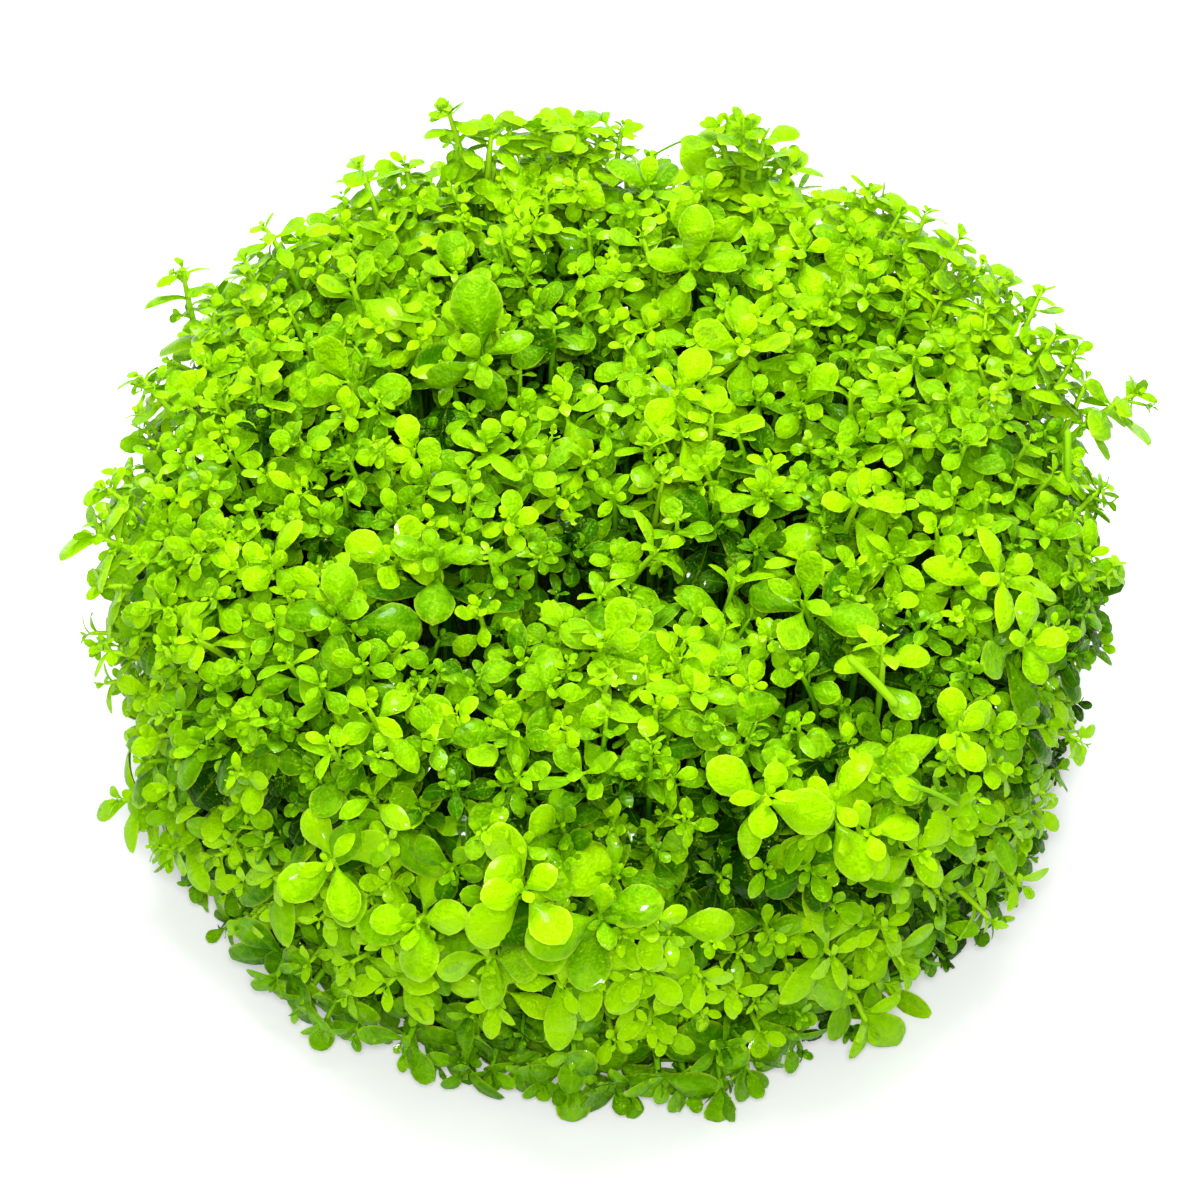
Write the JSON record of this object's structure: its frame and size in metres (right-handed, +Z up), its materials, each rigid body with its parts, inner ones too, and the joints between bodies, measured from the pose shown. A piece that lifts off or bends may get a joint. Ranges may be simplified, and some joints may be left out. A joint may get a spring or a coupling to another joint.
{
  "type": "dwarf baby tears cushion",
  "caption": "Low round cushion of dwarf baby tears: tufts of thin stems with tiny paired leaves on a flat foot mat, ready to plant or stand as decoration.",
  "frame": {"origin": "middle of the flat foot, on the surface it stands on", "axes": "+Z up, -Y towards the side that the picture shows in front, +X to the picture's right"},
  "size_m": [0.07, 0.0673, 0.0301],
  "materials": {
    "leaf": "fresh wet leaf, soft gloss",
    "stem": "pale green stems and fine roots, satin"
  },
  "bodies": {
    "root": {"centre_tuft": "leaf", "foot_mat": "stem", "inner_tuft_01": "leaf", "inner_tuft_02": "leaf", "inner_tuft_03": "leaf", "inner_tuft_04": "leaf", "inner_tuft_05": "leaf", "inner_tuft_06": "leaf", "middle_tuft_01": "leaf", "middle_tuft_02": "leaf", "middle_tuft_03": "leaf", "middle_tuft_04": "leaf", "middle_tuft_05": "leaf", "middle_tuft_06": "leaf", "middle_tuft_07": "leaf", "middle_tuft_08": "leaf", "middle_tuft_09": "leaf", "middle_tuft_10": "leaf", "rim_tuft_01": "leaf", "rim_tuft_02": "leaf", "rim_tuft_03": "leaf", "rim_tuft_04": "leaf", "rim_tuft_05": "leaf", "rim_tuft_06": "leaf", "rim_tuft_07": "leaf", "rim_tuft_08": "leaf", "rim_tuft_09": "leaf", "rim_tuft_10": "leaf", "rim_tuft_11": "leaf", "rim_tuft_12": "leaf", "rim_tuft_13": "leaf", "rim_tuft_14": "leaf", "rim_tuft_15": "leaf", "rim_tuft_16": "leaf", "rim_tuft_17": "leaf"}
  },
  "joints": []
}
